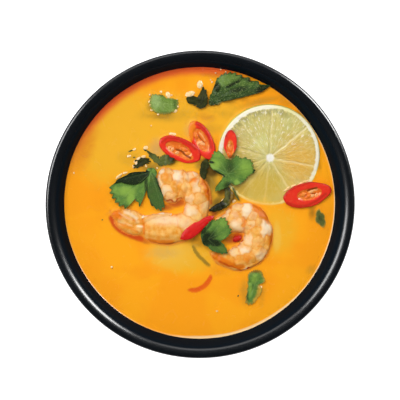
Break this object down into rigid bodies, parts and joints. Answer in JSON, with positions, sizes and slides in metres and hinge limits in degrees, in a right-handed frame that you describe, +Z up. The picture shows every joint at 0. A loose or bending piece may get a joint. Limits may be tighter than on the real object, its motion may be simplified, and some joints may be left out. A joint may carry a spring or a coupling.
{
  "type": "tom yum soup in a bowl",
  "caption": "Round dark glazed bowl filled with creamy orange hot and sour soup, topped with curled prawns, a lime slice, chilli slices and herb leaves.",
  "frame": {"origin": "middle of the foot ring, on the surface the bowl stands on", "axes": "+Z up out of the bowl, +X towards the lime slice's side, +Y towards the long leaf at the back"},
  "size_m": [0.16, 0.16, 0.066],
  "materials": {
    "glaze": "blue-black glossy stoneware glaze",
    "broth": "creamy orange soup, wet and glossy",
    "lime": "wet lime flesh with white pith and thin green rind",
    "prawn": "cooked prawn flesh, white with orange skin",
    "chilli": "glossy red chilli skin with orange heart and pale seeds",
    "herb": "fresh green herb leaf with a soft sheen",
    "herb_dark": "dark wet herb leaf"
  },
  "bodies": {
    "root": {"bowl": "glaze", "soup": "broth", "lime_slice": "lime", "prawn_left": "prawn", "prawn_right": "prawn", "chilli_slice_left": "chilli", "chilli_slice_top": "chilli", "chilli_slice_lime": "chilli", "chilli_slice_right": "chilli", "chilli_strip": "chilli", "chilli_scrap": "chilli", "leaf_left": "herb", "leaf_dark_left": "herb_dark", "leaf_by_chilli": "herb", "leaf_on_lime": "herb", "leaf_slip_dark": "herb_dark", "leaf_on_prawn": "herb", "leaf_long_top": "herb", "leaf_dark_top": "herb_dark", "leaf_top_left": "herb", "leaf_bottom": "herb", "leaf_tiny_right": "herb_dark", "stem_on_lime": "herb", "blade_dark": "herb_dark"}
  },
  "joints": []
}
